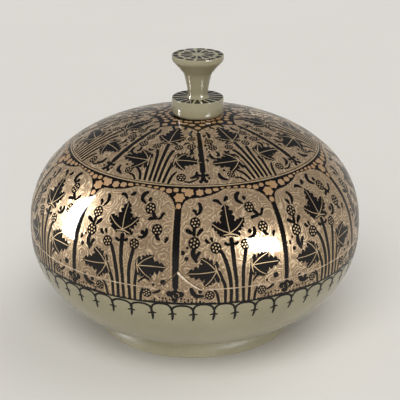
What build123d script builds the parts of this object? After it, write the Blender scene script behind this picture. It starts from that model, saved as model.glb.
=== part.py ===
from build123d import *
import math
import os

# A round lidded sweet box of papier-mache, on a turned foot, with a turned knob on its lid.
# All sizes are in millimetres. +Z is up, and the origin is the middle of the foot's resting face.

# ---------------------------------------------------------------- driving dimensions

# The globe: the bowl and the lid share one outline, widest at the seam between them.
body_radius = 89.0          # outside radius at the seam
seam_height = 57.0          # height of the seam above the table
wall = 4.0                  # thickness of the papier-mache
bowl_pole_drop = 1.5        # how far below the table the bowl's curve would close
bowl_side_power = 2.25      # fullness of the bowl's side, 2 is an ellipse
bowl_bottom_power = 2.2     # fullness of the bowl's bottom
dome_rise = 60.5            # seam up to the pole that the lid's curve aims at
dome_side_power = 2.09      # fullness of the lid's side
dome_crown_power = 2.35     # fullness of the lid's crown
curve_steps = 12            # spline spans from the seam to a pole

# The bowl's bottom and its foot.
foot_height = 6.5           # table to the bowl's flat underside
floor_thickness = 5.0       # papier-mache above the flat underside
foot_neck_inset = 0.4       # how far the foot's neck stands inside the bowl's edge
foot_wall = 6.9             # neck to the hollow under the bowl
foot_flare = 3.3            # how far the foot's lip stands outside its neck
foot_lip_height = 1.0       # height of the foot's widest line
foot_middle_height = 3.6    # height of a point on the foot's hollow flare
foot_middle_flare = 0.8     # how far that point stands outside the neck
foot_edge_round = 0.6       # rounding of the resting face's edges
register_depth = 1.2        # turned step under the bowl that centres the foot
glue_gap = 0.1              # glue line between pieces that are glued together

# The hoop glued into the bowl's mouth, which the lid fits over.
hoop_thickness = 2.0
hoop_grip = 8.0             # depth of the hoop below the seam
hoop_over_key = 0.7         # how far the hoop stands above the key's tip
hoop_lead = 0.8             # bevel that guides the lid over the hoop
lid_gap = 0.35              # running clearance between the hoop and the lid
lid_head_gap = 1.0          # room above the hoop inside the lid

# The pointed key on the bowl's rim, and the notch in the lid that fits over it.
key_azimuth = -95.0         # degrees round the box, -90 is the front
key_half_width = 11.0
key_height = 9.3
key_sag = 0.7               # how far each flank is hollowed
key_gap = 0.3               # clearance round the key, across its flanks

# The knob: collar, spool, dowel, and the disc that backs the dowel inside the lid.
knob_shift = 1.5            # the knob's axis stands this far off the box's, to the right of the front
collar_radius = 13.6
collar_height = 9.4
collar_top_round = 0.6
collar_base_round = 2.4
spool_height = 22.8
spool_disc_radius = 13.5
spool_disc_side = 1.9       # height of the disc's upright edge
spool_disc_round = 0.5
spool_disc_depth = 4.4      # top of the disc to the crease under its rounded edge
spool_crease_radius = 12.1
spool_bell_radius = 9.0     # first point on the trumpet curve, below the crease
spool_bell_height = 14.9
spool_neck_radius = 7.1     # second point on the trumpet curve
spool_neck_height = 11.8
spool_waist_radius = 5.3    # narrowest point
spool_waist_height = 2.8
spool_foot_radius = 5.9
dowel_radius = 3.0
dowel_reach = 12.0          # depth of the dowel in the spool
dowel_end_gap = 0.5         # room past the dowel's end
dowel_tail = 1.5            # dowel left standing below the backing disc
backing_radius = 14.0
backing_thickness = 3.0
backing_edge_round = 0.6
backing_margin = 0.5        # flat left round the backing disc, inside the lid

# Room that cutting shapes take beyond what they cut.
overcut = 5.0

# ---------------------------------------------------------------- worked-out places

bowl_depth = seam_height + bowl_pole_drop
hoop_radius = body_radius - wall
hoop_base = seam_height - hoop_grip
hoop_top = seam_height + key_height + hoop_over_key
rebate_radius = hoop_radius + glue_gap
lid_rebate_radius = hoop_radius + lid_gap
bore_radius = dowel_radius + glue_gap


# ---------------------------------------------------------------- the globe's outline

def outline_radius(radius, rise, side_power, pole_power, along):
    """Radius of a squashed globe at a distance along its axis from the seam."""
    return radius * (1 - (along / rise) ** pole_power) ** (1 / side_power)


def outline_along(radius, rise, side_power, pole_power, out):
    """Distance along the axis from the seam at which a squashed globe has narrowed to a radius."""
    return rise * (1 - (out / radius) ** side_power) ** (1 / pole_power)


def outline_points(radius, rise, side_power, pole_power, last_along):
    """Points (radius, distance from the seam), evenly turned from the seam to last_along."""
    last_turn = math.asin((last_along / rise) ** (pole_power / 2))
    points = []
    for step in range(curve_steps + 1):
        along = rise * math.sin(last_turn * step / curve_steps) ** (2 / pole_power)
        points.append((outline_radius(radius, rise, side_power, pole_power, along), along))
    return points


def dome_points(inset, top):
    """Outline of the lid at a depth below its outside, from the seam up to the height top."""
    points = outline_points(body_radius - inset, dome_rise - inset, dome_side_power,
                            dome_crown_power, top - seam_height)
    return [(out, seam_height + along) for out, along in points]


def bowl_points(inset, bottom):
    """Outline of the bowl at a depth below its outside, from the seam down to the height bottom."""
    points = outline_points(body_radius - inset, bowl_depth - inset, bowl_side_power,
                            bowl_bottom_power, seam_height - bottom)
    return [(out, seam_height - along) for out, along in points]


def turned(edges):
    """Solid of revolution about Z from edges that close an area beside the axis."""
    return revolve(make_face(edges), Axis.Z)


def half_globe(points):
    """Solid of revolution under an outline that starts at the seam."""
    curve = Spline([(out, 0, z) for out, z in points])
    last_out, last_z = points[-1]
    corners = Polyline((last_out, 0, last_z), (0, 0, last_z), (0, 0, seam_height),
                       (points[0][0], 0, seam_height))
    return turned([curve, corners])


def upright_cylinder(radius, bottom, top):
    """Cylinder on the Z axis between two heights."""
    return Pos(0, 0, bottom) * Cylinder(radius, top - bottom, align=(Align.CENTER, Align.CENTER, Align.MIN))


# ---------------------------------------------------------------- places that follow the outline

foot_neck = bowl_points(0, foot_height)[-1][0] - foot_neck_inset
foot_bore = foot_neck - foot_wall

backing_pad = backing_radius + backing_margin + knob_shift
backing_top = seam_height + outline_along(body_radius - wall, dome_rise - wall, dome_side_power,
                                          dome_crown_power, backing_pad)
backing_base = backing_top - backing_thickness
collar_pad = collar_radius + knob_shift
collar_base = seam_height + outline_along(body_radius, dome_rise, dome_side_power,
                                          dome_crown_power, collar_pad)
collar_top = collar_base + collar_height
dowel_top = collar_top + dowel_reach
spool_top = collar_top + spool_height


# ---------------------------------------------------------------- the key and its notch

def key_outline(grow):
    """Pointed outline with hollow flanks, standing on the seam, grown across its flanks."""
    flank = math.hypot(key_half_width, key_height)
    half_width = key_half_width + grow * flank / key_height
    height = key_height + grow * flank / key_half_width
    hollow_x = key_sag * key_height / flank
    hollow_z = key_sag * key_half_width / flank
    left, tip, right = (-half_width, 0), (0, height), (half_width, 0)
    left_middle = (hollow_x - half_width / 2, height / 2 - hollow_z)
    right_middle = (half_width / 2 - hollow_x, height / 2 - hollow_z)
    edges = [
        ThreePointArc(left, left_middle, tip),
        ThreePointArc(tip, right_middle, right),
        Line(right, left),
    ]
    return make_face(edges)


def key_prism(grow):
    """The key's outline pushed outward through the wall, from inside the hoop."""
    azimuth = math.radians(key_azimuth)
    outward = (math.cos(azimuth), math.sin(azimuth), 0)
    sideways = (-math.sin(azimuth), math.cos(azimuth), 0)
    start = hoop_radius - hoop_thickness - overcut
    origin = (outward[0] * start, outward[1] * start, seam_height)
    plane = Plane(origin=origin, x_dir=sideways, z_dir=outward)
    return extrude(plane * key_outline(grow), amount=body_radius - start + overcut)


# ---------------------------------------------------------------- the base

def make_bowl():
    """Bowl with a flat underside, a step that centres the foot, a rebate for the hoop, and the key."""
    solid = half_globe(bowl_points(0, foot_height))
    solid -= half_globe(bowl_points(wall, foot_height + floor_thickness))
    solid -= upright_cylinder(rebate_radius, hoop_base, seam_height + overcut)
    solid += upright_cylinder(foot_bore - glue_gap, foot_height - register_depth, foot_height)
    key = key_prism(0) & half_globe(dome_points(0, seam_height + key_height + overcut))
    key -= upright_cylinder(rebate_radius, seam_height - overcut, seam_height + dome_rise)
    return solid + key


def make_foot():
    """Turned ring that flares out to the table, hollow underneath."""
    spread = foot_neck + foot_flare
    middle = (foot_neck + foot_middle_flare, 0, foot_middle_height)
    lip = (spread, 0, foot_lip_height)
    flare = Spline((foot_neck, 0, foot_height), middle, lip)
    rim = Polyline(lip, (spread, 0, 0), (foot_bore, 0, 0), (foot_bore, 0, foot_height),
                   (foot_neck, 0, foot_height))
    solid = turned([flare, rim])
    resting_edges = solid.edges().group_by(Axis.Z)[0]
    return fillet(resting_edges, foot_edge_round)


def make_hoop():
    """Hoop glued into the bowl's mouth, bevelled where the lid slides on."""
    inner = hoop_radius - hoop_thickness
    edges = Polyline(
        (inner, 0, hoop_base),
        (hoop_radius, 0, hoop_base),
        (hoop_radius, 0, hoop_top - hoop_lead),
        (hoop_radius - hoop_lead, 0, hoop_top),
        (inner, 0, hoop_top),
        close=True,
    )
    return turned(edges)


# ---------------------------------------------------------------- the lid

def on_knob_axis(solid):
    """Moves a shape that is turned about the box's axis onto the knob's axis."""
    return Pos(knob_shift, 0, 0) * solid


def make_lid():
    """Domed lid with flat pads for the knob, a bore for the dowel and a notch for the key."""
    solid = half_globe(dome_points(0, collar_base))
    solid -= half_globe(dome_points(wall, backing_top))
    solid -= upright_cylinder(lid_rebate_radius, seam_height - overcut, hoop_top + lid_head_gap)
    solid -= on_knob_axis(upright_cylinder(bore_radius, backing_top - overcut, collar_base + overcut))
    return solid - key_prism(key_gap)


def make_collar():
    """Turned puck that the spool stands on, with a flat top and a rounded base."""
    solid = upright_cylinder(collar_radius, collar_base, collar_top)
    solid = fillet(solid.edges().group_by(Axis.Z)[-1], collar_top_round)
    solid = fillet(solid.edges().group_by(Axis.Z)[0], collar_base_round)
    return solid - upright_cylinder(bore_radius, collar_base - overcut, collar_top + overcut)


def make_spool():
    """Turned finger grip: a waisted stem that opens like a trumpet under a flat disc."""
    crease = (spool_crease_radius, 0, spool_top - spool_disc_depth)
    side_base = (spool_disc_radius, 0, spool_top - spool_disc_side)
    trumpet = Spline(
        (spool_foot_radius, 0, collar_top),
        (spool_waist_radius, 0, collar_top + spool_waist_height),
        (spool_neck_radius, 0, collar_top + spool_neck_height),
        (spool_bell_radius, 0, collar_top + spool_bell_height),
        crease,
    )
    underside = TangentArc(side_base, crease, tangent=(0, 0, -1))
    rim = Polyline(side_base, (spool_disc_radius, 0, spool_top), (0, 0, spool_top),
                   (0, 0, collar_top), (spool_foot_radius, 0, collar_top))
    solid = turned([trumpet, underside, rim])
    solid = fillet(solid.edges().group_by(Axis.Z)[-1], spool_disc_round)
    return solid - upright_cylinder(bore_radius, collar_top - overcut, dowel_top + dowel_end_gap)


def make_dowel():
    """Dowel that pins the spool and the collar to the lid."""
    return upright_cylinder(dowel_radius, backing_base - dowel_tail, dowel_top)


def make_backing():
    """Disc glued to the underside of the crown, which the dowel's tail passes through."""
    solid = upright_cylinder(backing_radius, backing_base, backing_top)
    solid = fillet(solid.edges().group_by(Axis.Z)[0], backing_edge_round)
    return solid - upright_cylinder(bore_radius, backing_base - overcut, backing_top + overcut)


# ---------------------------------------------------------------- the pieces

pieces = {
    "base_bowl": make_bowl(),
    "foot_ring": make_foot(),
    "locating_hoop": make_hoop(),
    "lid_dome": make_lid(),
    "knob_collar": on_knob_axis(make_collar()),
    "knob_spool": on_knob_axis(make_spool()),
    "knob_dowel": on_knob_axis(make_dowel()),
    "dowel_backing": on_knob_axis(make_backing()),
}

os.makedirs("parts", exist_ok=True)
for name, shape in pieces.items():
    shape.label = name
    export_step(shape, f"parts/{name}.step")
    print(name, "volume", round(shape.volume / 1000, 2), "cm3")
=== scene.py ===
# %% [markdown]
# # A painted sweet box of papier-mache
# The box is a squashed globe in two halves. Its lid is painted bronze-gold with black plane-tree
# leaves in arched panels, its bowl is cream lacquer, and a turned knob stands on the crown.
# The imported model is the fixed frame. It gives the main sizes below, and it carries what moves.

# %% Load the frame
import math
import random

import bmesh
import bpy
import numpy as np
from mathutils import Matrix, Vector
from mathutils.geometry import delaunay_2d_cdt


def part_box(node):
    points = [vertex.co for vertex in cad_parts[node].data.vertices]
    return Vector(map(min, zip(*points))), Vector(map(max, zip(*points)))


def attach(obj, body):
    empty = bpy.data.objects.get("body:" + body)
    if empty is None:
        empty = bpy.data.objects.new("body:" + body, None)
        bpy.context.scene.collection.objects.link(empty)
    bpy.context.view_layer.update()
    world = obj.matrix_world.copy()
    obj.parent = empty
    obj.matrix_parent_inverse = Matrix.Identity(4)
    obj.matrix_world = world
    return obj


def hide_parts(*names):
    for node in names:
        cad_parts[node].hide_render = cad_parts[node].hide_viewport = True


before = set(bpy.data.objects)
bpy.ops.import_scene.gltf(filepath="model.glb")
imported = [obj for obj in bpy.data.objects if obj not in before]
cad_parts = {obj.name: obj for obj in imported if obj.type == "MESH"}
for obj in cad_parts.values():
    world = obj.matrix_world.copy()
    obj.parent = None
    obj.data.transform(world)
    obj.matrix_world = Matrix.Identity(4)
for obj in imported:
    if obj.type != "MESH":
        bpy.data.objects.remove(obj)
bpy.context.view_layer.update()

MM = 0.001          # the script draws in millimetres, and Blender holds metres
scene = bpy.context.scene

# %% [markdown]
# ## Sizes
# A turned object is known by a few radii and heights, so they are read off the frame's boxes.
# The globe itself follows a rule, the superellipse: 2 is an ellipse, and more is fuller.

# %% Sizes from the frame, in millimetres


def size_of(node):
    """A node's bottom, top and radius."""
    low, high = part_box(node)
    return round(low.z / MM, 2), round(high.z / MM, 2), round((high.x - low.x) / 2 / MM, 1)


seam_height, _, body_radius = size_of("lid_dome")
_, bowl_bottom, foot_radius = size_of("foot_ring")
hoop_base, hoop_top, hoop_radius = size_of("locating_hoop")
collar_base, _, collar_radius = size_of("knob_collar")
collar_top, spool_top, disc_radius = size_of("knob_spool")
_, backing_top, _ = size_of("dowel_backing")
key_height = size_of("base_bowl")[1] - seam_height
knob_low, knob_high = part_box("knob_collar")
knob_shift = (knob_low.x + knob_high.x) / 2 / MM        # the knob stands a little off the box's axis
print("globe", body_radius, "seam", seam_height, "collar", collar_base, collar_top, "top", spool_top)

# %% The globe's rule
paint_room = 0.1            # lacquer lies this far inside the CAD outline, which leaves room for paint
wall = 4.0                  # thickness of the papier-mache
dome_rise = 60.5            # from the seam to the pole that the lid's curve aims at
pole_drop = 1.5             # the bowl's curve would close this far under the table
bowl_depth = seam_height + pole_drop
dome_side, dome_crown = 2.09, 2.35      # fullness of the lid's side and of its crown
bowl_side, bowl_pole = 2.25, 2.2        # and of the bowl's side and its pole


def globe_point(turn, inset=paint_room):
    """Radius and height on the globe for turns from -90 degrees, the bowl's pole, to 90, the lid's."""
    turn = np.asarray(turn, float)
    upper = turn >= 0
    lean, rise = np.clip(np.cos(turn), 0, 1), np.abs(np.sin(turn))
    radius = (body_radius - inset) * lean ** np.where(upper, 2 / dome_side, 2 / bowl_side)
    lift = np.where(upper, (dome_rise - inset) * rise ** (2 / dome_crown),
                    -(bowl_depth - inset) * rise ** (2 / bowl_pole))
    return radius, seam_height + lift


outline_steps = 3001        # odd, so that one step falls on the seam
turns = np.linspace(-math.pi / 2, math.pi / 2, outline_steps)
outline_radius, outline_height = globe_point(turns)
outline_arc = np.concatenate([[0], np.cumsum(np.hypot(np.diff(outline_radius), np.diff(outline_height)))])
seam_arc = outline_arc[outline_steps // 2]
outline_arc -= seam_arc     # distances along the side count from the seam
crown_arc = outline_arc[-1]
print("seam to crown along the lid", round(crown_arc, 1), "mm")

# %% [markdown]
# ## Helpers
# One small function adds a node with its settings and links, for shaders and Geometry Nodes alike.
# Another turns a paint's sRGB hex code into the linear colour that shaders use.

# %% Node, colour and mesh helpers


def add(tree, kind, inputs=None, to=None, **settings):
    """Adds a node. An input is a value, a socket or a node, and to takes the new node's first output."""
    node = tree.nodes.new(kind)
    for name, value in settings.items():
        setattr(node, name, value)
    for key, value in (inputs or {}).items():
        if isinstance(value, bpy.types.Node):
            value = value.outputs[0]
        if isinstance(value, bpy.types.NodeSocket):
            tree.links.new(value, node.inputs[key])
        else:
            node.inputs[key].default_value = value
    if to:
        tree.links.new(node.outputs[0], to)
    return node


def paint(code):
    """Linear colour from an sRGB hex code such as #c8a060."""
    parts = [int(code[i:i + 2], 16) / 255 for i in (1, 3, 5)]
    return tuple(p / 12.92 if p <= 0.04045 else ((p + 0.055) / 1.055) ** 2.4 for p in parts) + (1.0,)


def put(name, data):
    """A new object in the scene."""
    item = bpy.data.objects.new(name, data)
    scene.collection.objects.link(item)
    return item


def mesh_of(name, corners, faces):
    """A new mesh."""
    mesh = bpy.data.meshes.new(name)
    mesh.from_pydata(corners, [], faces)
    return mesh


# %% [markdown]
# ## Finishes
# Papier-mache boxes are primed with chalk, painted in tempera colours and bronze powder, and
# sealed with many coats of clear varnish. So every finish but bare wood is a paint under one clear
# coat: the paint gives the colour, and the coat the window-sharp gloss and its slight waviness.

# %% What finishes are made of
varnish_ior = 1.5
varnish_roughness = 0.035
varnish_weight = 0.6        # a thin, hand-rubbed coat
rub_wave_mm, rub_deep_mm = 16.0, 0.1    # the rubbed coats stay very slightly wavy


class Finish:
    """A node material whose patterns read the object's own coordinates."""

    def __init__(self, name):
        self.material = bpy.data.materials.new(name)
        self.material.use_nodes = True
        self.tree = self.material.node_tree
        self.inputs = self.tree.nodes["Principled BSDF"].inputs
        self.place = add(self.tree, "ShaderNodeTexCoord").outputs["Object"]

    def clouds(self, size_mm, detail=3.0, low=0.0, high=1.0, roughness=0.55, faint=0.0):
        """Blots about size_mm across: noise from low to high becomes a share from faint to 1."""
        noise = add(self.tree, "ShaderNodeTexNoise", {"Vector": self.place, "Scale": 1 / (size_mm * MM),
                                                      "Detail": detail, "Roughness": roughness})
        return add(self.tree, "ShaderNodeMapRange", {0: noise, 1: low, 2: high, 3: faint})

    def colours(self, base, *coats):
        """A base colour, and over it the colour of each coat where the coat's share says."""
        colour = paint(base)
        for share, code in coats:
            mix = add(self.tree, "ShaderNodeMix", {0: share, 6: colour, 7: paint(code)}, data_type="RGBA")
            colour = mix.outputs[2]
        self.tree.links.new(colour, self.inputs["Base Color"])

    def varnish(self, weight=varnish_weight, roughness=varnish_roughness):
        """The clear coat, which does all the shining, with the faint waves of hand rubbing."""
        for socket, value in (("Specular IOR Level", 0.0), ("Coat Weight", weight),
                              ("Coat IOR", varnish_ior), ("Coat Roughness", roughness)):
            self.inputs[socket].default_value = value
        add(self.tree, "ShaderNodeBump", {"Height": self.clouds(rub_wave_mm, 2.0), "Strength": 0.5,
                                          "Distance": rub_deep_mm * MM}, self.inputs["Coat Normal"])
        return self.material


# %% [markdown]
# ### Bronze-gold ground
# Bronze powder bound in tempera is brushed over tan paint, and fine curls are drawn in it, which
# flash where the light catches the metal. Drawing every curl as a shape would take too many faces.
# Rings round scattered centres, pushed about by noise and broken by more, look the same.

# %% Bronze-gold ground with scrollwork
scroll_size_mm = 6.5        # one rosette of rings
ring_gap_mm = 1.3           # from ring to ring
stray_mm = 3.2              # how far the hand wanders
curl_deep_mm = 0.03         # how proud the drawn curls stand

gold = Finish("bronze_gold_ground")
stray = add(gold.tree, "ShaderNodeMath", {0: gold.clouds(4.0, 2.0), 1: stray_mm * MM}, operation="MULTIPLY")
moved = add(gold.tree, "ShaderNodeVectorMath", {0: gold.place, 1: stray}, operation="ADD")
cells = add(gold.tree, "ShaderNodeTexVoronoi",
            {"Vector": moved, "Scale": 1 / (scroll_size_mm * MM), "Randomness": 0.9})
# The distance comes in cell widths, so this many radians of wave fill one.
waves = 2 * math.pi * scroll_size_mm / ring_gap_mm
phase = add(gold.tree, "ShaderNodeMath", {0: cells.outputs["Distance"], 1: waves}, operation="MULTIPLY")
swell = add(gold.tree, "ShaderNodeMath", {0: phase}, operation="COSINE")
rings = add(gold.tree, "ShaderNodeMapRange", {0: swell, 1: 0.2, 2: 0.9})
broken = gold.clouds(3.5, 3.0, 0.38, 0.58, faint=0.1)
drawn = add(gold.tree, "ShaderNodeMath", {0: rings, 1: broken}, operation="MULTIPLY")
speck = gold.clouds(0.9, 4.0, 0.35, 0.7, 0.7)
gold.colours("#735f4a", (gold.clouds(30.0, 3.0, 0.3, 0.7), "#88735a"), (speck, "#978166"), (drawn, "#cfb795"))
add(gold.tree, "ShaderNodeMapRange", {0: drawn, 3: 0.3, 4: 0.75}, gold.inputs["Metallic"])
add(gold.tree, "ShaderNodeMapRange", {0: speck, 3: 0.4, 4: 0.3}, gold.inputs["Roughness"])
add(gold.tree, "ShaderNodeBump", {"Height": drawn, "Distance": curl_deep_mm * MM, "Strength": 0.6},
    gold.inputs["Normal"])
finish = {"ground": gold.varnish()}
print(gold.material.name, "has rings", ring_gap_mm, "mm apart, in rosettes of", scroll_size_mm, "mm")

# %% [markdown]
# ### Plain paints and lacquers
# Hand-mixed paint is never quite even: it pools, thins and wears. Each of these is a base colour
# with blots of a second one, and its roughness follows the blots, so one function makes them all.

# %% Paints that are blots over a base


def painted(name, base, layers, roughness, metallic=0.0, shine=0, grain=None, coat=()):
    """A varnished paint. A layer is a size in mm, detail, two noise limits and a colour.

    The roughness follows the layer numbered shine. Grain is a size, depth and strength of relief."""
    made = Finish(name)
    shares = [made.clouds(*layer[:-1]) for layer in layers]
    made.colours(base, *[(share, layer[-1]) for share, layer in zip(shares, layers)])
    add(made.tree, "ShaderNodeMapRange", {0: shares[shine], 3: roughness[0], 4: roughness[1]},
        made.inputs["Roughness"])
    made.inputs["Metallic"].default_value = metallic
    if grain:
        size_mm, deep_mm, strength = grain
        add(made.tree, "ShaderNodeBump", {"Height": made.clouds(size_mm), "Distance": deep_mm * MM,
                                          "Strength": strength}, made.inputs["Normal"])
    return made.varnish(*coat)


# Lamp black is soot in tempera: dense and even, and a little brown where it thins.
finish["black"] = painted("lamp_black_paint", "#080605", [(2.2, 4.0, 0.5, 0.8, "#1c120c")], (0.35, 0.55))
# Pale gold is bronze powder laid thickly with a fine brush, so it is lighter than the ground.
finish["pale"] = painted("pale_gold_paint", "#9c8566", [(3.0, 3.0, 0.3, 0.7, "#bda683")], (0.45, 0.3), 0.4)
# The lattice's bronze powder has more copper in it, and leans to orange.
finish["lattice"] = painted("orange_gold_paint", "#a07848", [(6.0, 2.0, 0.35, 0.65, "#a5876a"),
                                                            (0.8, 3.0, 0.3, 0.7, "#b59470")],
                            (0.45, 0.35), 0.4, shine=1)
# Along the seam the gold is rubbed away to the chalk priming. Round the key the same pale paint is a painted
# highlight, where the key's flanks catch the light.
finish["edge"] = painted("worn_edge_gold", "#b39a80", [(2.0, 3.0, 0.35, 0.65, "#efdfc9")], (0.4, 0.4), 0.2)
print("paints so far:", ", ".join(finish))

# %% Black lacquer, and cream lacquer in three states
# The inside is brushed with black lacquer, which is rubbed down less and stays uneven.
finish["inside"] = painted("black_lacquer", "#0d0b0a", [(12.0, 4.0, 0.5, 0.8, "#1d1612")], (0.3, 0.5),
                           grain=(9.0, 0.12, 0.5))
# The cream is chalk white under yellowed varnish. The shells are full gloss, the spool is rubbed to
# satin by fingers, and the foot is dull, because the table wears its varnish off. The foot's cream
# is also painted paler, as painted light against the shade that the bowl casts on it.
for key, name, deep, light, coat in (
        ("cream", "cream_lacquer", "#938c71", "#9f987d", (1.0,)),
        ("satin cream", "satin_cream_lacquer", "#938c71", "#9f987d", (0.8, 0.08)),
        # The foot's two colours are paler than the shells' cream: painted light for the bowl's shade on the
        # foot.
        ("worn cream with painted light", "worn_cream_lacquer", "#bab397", "#c9c2a6", (0.35, 0.4))):
    cloud_and_fleck = [(26.0, 3.0, 0.3, 0.7, light), (0.6, 2.0, 0.64, 0.74, "#7d745b")]
    finish[key] = painted(name, deep, cloud_and_fleck, (0.5, 0.4), grain=(1.4, 0.02, 0.4), coat=coat)
    print(name, "has a coat of weight", coat[0])

# %% [markdown]
# ### Bare wood
# The dowel and its backing disc are turned from pale close-grained willow and left unpainted, so
# they show faint long figure and the lathe's fine rings, and they don't shine.

# %% Turned willow
ring_pitch_mm, ring_deep_mm = 3.0, 0.04     # coarser than the tool's real marks, so that they show
figure_squeeze = 0.12       # along the grain, so that its blots come out long

wood = Finish("turned_willow")
lathe_marks = add(wood.tree, "ShaderNodeTexWave", {"Vector": wood.place, "Scale": 1 / (ring_pitch_mm * MM),
                                                   "Distortion": 2.0}, bands_direction="Z")
add(wood.tree, "ShaderNodeBump", {"Height": lathe_marks.outputs["Fac"], "Distance": ring_deep_mm * MM,
                                  "Strength": 0.4}, wood.inputs["Normal"])
wood.place = add(wood.tree, "ShaderNodeMapping", {"Vector": wood.place, "Scale": (1, figure_squeeze, 1)})
wood.colours("#b08e62", (wood.clouds(1.5, 4.0, 0.3, 0.7), "#caa97a"))
wood.inputs["Roughness"].default_value = 0.6
finish["wood"] = wood.material
print("finishes", ", ".join(material.name for material in finish.values()))

# %% [markdown]
# ## Trees that shape the box
# Two rules make nearly every piece. A lathe sweeps a section round the axis. A wrap lays flat art
# on the globe: a distance across becomes an angle, a distance up runs along the globe's side, and
# a height becomes thickness of paint. Both are Geometry Nodes trees with named inputs.

# %% Start, end and run a tree


def new_tree(name, inputs):
    """A Geometry Nodes tree with geometry in and out, a finish and named inputs, and what it is given."""
    tree = bpy.data.node_groups.new(name, "GeometryNodeTree")
    for label, kind in {"Geometry": "Geometry", "Finish": "Material", **inputs}.items():
        tree.interface.new_socket(label, in_out="INPUT", socket_type="NodeSocket" + kind)
    tree.interface.new_socket("Geometry", in_out="OUTPUT", socket_type="NodeSocketGeometry")
    return tree, add(tree, "NodeGroupInput").outputs


def end_tree(tree, given, geometry):
    """Makes instances real and gives the mesh its finish."""
    real = add(tree, "GeometryNodeRealizeInstances", {0: geometry})
    done = add(tree, "GeometryNodeSetMaterial", {"Geometry": real, "Material": given["Finish"]})
    add(tree, "NodeGroupOutput", {0: done})
    return tree


def end_turned(tree, given, mesh, point, angle, weld_mm):
    """Moves each point of a mesh, turned about the box's axis by its angle, and welds what meets."""
    turned = add(tree, "ShaderNodeVectorRotate", {"Vector": point, "Angle": angle}, rotation_type="Z_AXIS")
    placed = add(tree, "GeometryNodeSetPosition", {"Geometry": mesh, "Position": turned})
    welded = add(tree, "GeometryNodeMergeByDistance", {"Geometry": placed, "Distance": weld_mm * MM})
    return end_tree(tree, given, welded)


def harden(host):
    """The plain mesh that an object's modifiers give. The object goes."""
    graph = bpy.context.evaluated_depsgraph_get()
    result = bpy.data.meshes.new_from_object(host.evaluated_get(graph), depsgraph=graph)
    bpy.data.objects.remove(host)
    return result


def run_tree(mesh, tree, material, **values):
    """Runs a tree on a mesh. Its inputs are named with small letters and _ for a space."""
    host = put("host", mesh)
    modifier = host.modifiers.new(tree.name, "NODES")
    modifier.node_group = tree
    values["finish"] = material
    for item in tree.interface.items_tree:
        name = item.name.lower().replace(" ", "_")
        if item.in_out == "INPUT" and name in values:
            modifier[item.identifier] = values[name]
    return harden(host)


# %% The lathe tree
lathe_sides = 288           # round a shell, so that no facet shows
sliver_mm = 0.0005          # an edge shorter than this is none


def lathe_tree():
    """Turns a section, given as a chain of points (radius, 0, height), into a closed turned mesh."""
    tree, given = new_tree("turn on the lathe", {"Sides": "Int"})
    count = add(tree, "GeometryNodeAttributeDomainSize", {0: given["Geometry"]}).outputs["Point Count"]
    columns = add(tree, "ShaderNodeMath", {0: given["Sides"], 1: 1.0}, operation="ADD")
    # A grid's columns stand at their own angles, from half a turn left to half a turn right.
    grid = add(tree, "GeometryNodeMeshGrid", {"Size X": 2 * math.pi, "Vertices X": columns,
                                              "Vertices Y": count})
    place = add(tree, "GeometryNodeInputPosition")
    angle = add(tree, "ShaderNodeSeparateXYZ", {0: place})
    index = add(tree, "GeometryNodeInputIndex")
    row = add(tree, "ShaderNodeMath", {0: index, 1: count}, operation="FLOORED_MODULO")
    point = add(tree, "GeometryNodeSampleIndex", {"Geometry": given["Geometry"], "Value": place,
                                                  "Index": row}, data_type="FLOAT_VECTOR")
    return end_turned(tree, given, grid, point, angle, weld_mm=0.002)


lathe = lathe_tree()
print("tree:", lathe.name)


def outward(mesh):
    """Turns a closed mesh's faces outwards, which its signed volume tells."""
    work = bmesh.new()
    work.from_mesh(mesh)
    bmesh.ops.dissolve_degenerate(work, dist=sliver_mm * MM, edges=work.edges)
    bmesh.ops.recalc_face_normals(work, faces=work.faces)
    if work.calc_volume(signed=True) < 0:
        bmesh.ops.reverse_faces(work, faces=work.faces)
    work.to_mesh(mesh)
    work.free()
    return mesh


def turn_piece(section, material, sides=lathe_sides):
    """Turns a closed section of (radius, height) points in millimetres."""
    chain = mesh_of("section", [(r * MM, 0.0, z * MM) for r, z in section + section[:1]], [])
    return outward(run_tree(chain, lathe, material, sides=sides))


# %% The wrap tree
side_curve = bpy.data.curves.new("globe_side", "CURVE")     # from the bowl's pole up to the lid's
side_curve.dimensions = "3D"
side_line = side_curve.splines.new("POLY")
side_line.points.add(outline_steps - 1)
guide_points = np.stack([outline_radius * MM, 0 * turns, outline_height * MM, 0 * turns + 1], 1)
side_line.points.foreach_set("co", guide_points.astype(np.float32).ravel())
side_guide = put("globe_side", side_curve)


def wrap_tree():
    """Lays flat art on the globe: x runs round it, y up its side from the seam, and z stands off it."""
    tree, given = new_tree("wrap on the globe", {"Side": "Object", "Seam Radius": "Float",
                                                 "Seam Along": "Float"})
    flat = add(tree, "ShaderNodeSeparateXYZ", {0: add(tree, "GeometryNodeInputPosition")}).outputs
    side = add(tree, "GeometryNodeObjectInfo", {"Object": given["Side"]}).outputs["Geometry"]
    along = add(tree, "ShaderNodeMath", {0: flat["Y"], 1: given["Seam Along"]}, operation="ADD")
    spot = add(tree, "GeometryNodeSampleCurve", {"Curves": side, "Length": along}, mode="LENGTH").outputs
    # A quarter turn about Y takes the side's own direction to the outward one.
    normal = add(tree, "ShaderNodeVectorRotate", {"Vector": spot["Tangent"], "Angle": math.pi / 2},
                 rotation_type="Y_AXIS")
    point = add(tree, "ShaderNodeVectorMath", {0: normal, 1: flat["Z"], 2: spot["Position"]},
                operation="MULTIPLY_ADD")
    angle = add(tree, "ShaderNodeMath", {0: flat["X"], 1: given["Seam Radius"]}, operation="DIVIDE")
    return end_turned(tree, given, given["Geometry"], point, angle, weld_mm=0.004)


wrap = wrap_tree()
print("tree:", wrap.name)


def wrap_on_globe(mesh, material):
    """Flat art in millimetres becomes a film on the globe, in metres."""
    mesh.transform(Matrix.Scale(MM, 4))
    return run_tree(mesh, wrap, material, side=side_guide, seam_radius=body_radius * MM,
                    seam_along=seam_arc * MM)


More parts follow.
